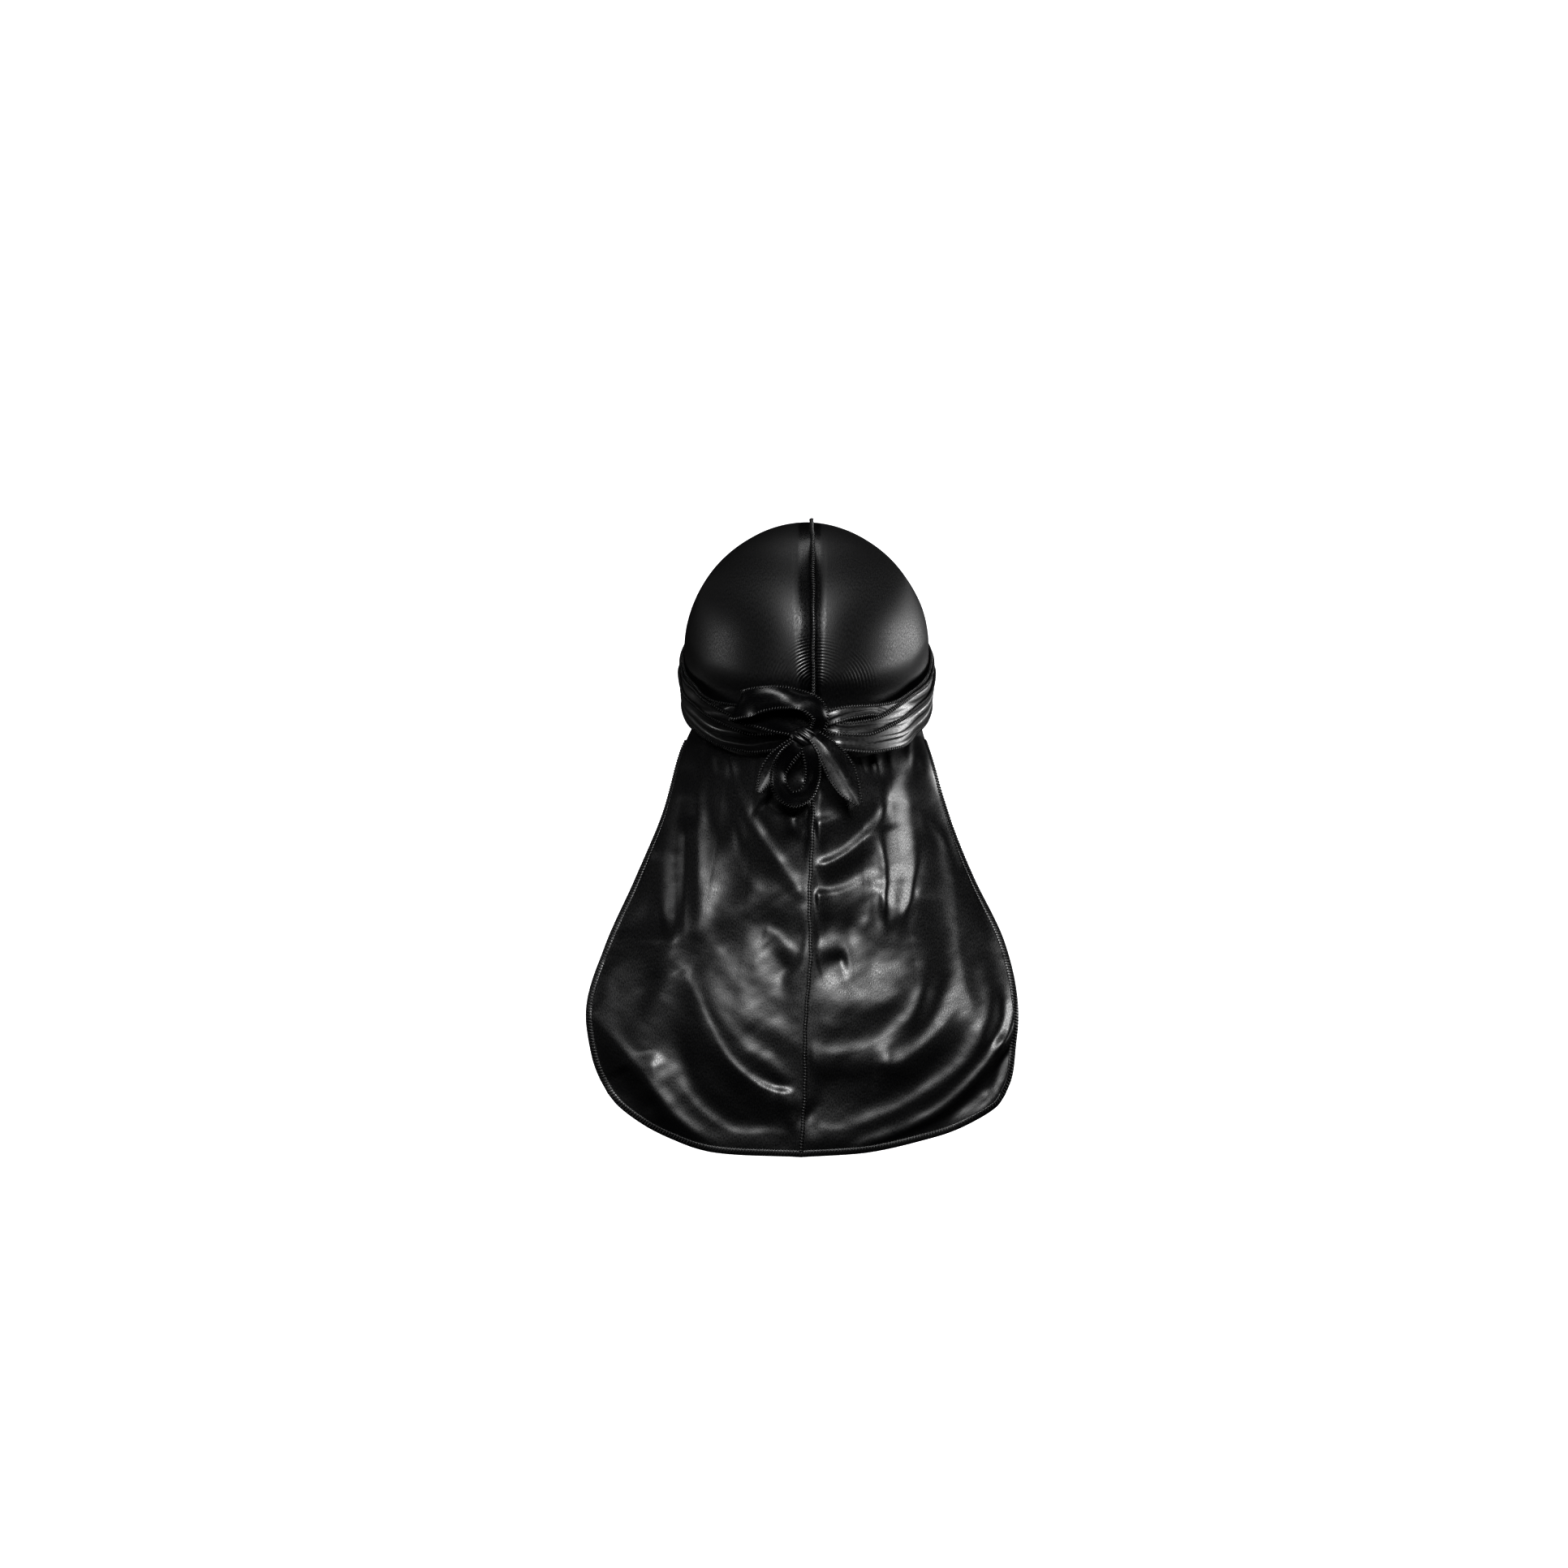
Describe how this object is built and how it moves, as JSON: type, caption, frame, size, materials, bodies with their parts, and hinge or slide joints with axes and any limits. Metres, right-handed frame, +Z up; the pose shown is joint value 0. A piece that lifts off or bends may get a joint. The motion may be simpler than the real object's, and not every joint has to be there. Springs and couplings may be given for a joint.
{
  "type": "durag",
  "caption": "Satin durag in its worn form: close cap with a raised middle seam, long tail over the neck and two straps that wrap the head and tie in a bow at the back.",
  "frame": {"origin": "the inside of the cap's top, where it sits on the crown of the head", "axes": "+Z up, +Y the way the wearer faces, +X to the wearer's right"},
  "size_m": [0.2733, 0.2296, 0.4073],
  "materials": {
    "satin": "black polyester satin with a soft sheen",
    "overlock": "black overlocked thread edging, matt"
  },
  "bodies": {
    "root": {"panel_right": "satin", "panel_left": "satin", "centre_seam": "overlock", "tail_hem": "overlock", "front_hem": "overlock", "strap_right": "satin", "strap_left": "satin", "knot_wrap": "satin", "bow_loop_upper": "satin", "bow_loop_lower": "satin", "strap_end_right": "satin", "strap_end_left": "satin"}
  },
  "joints": []
}
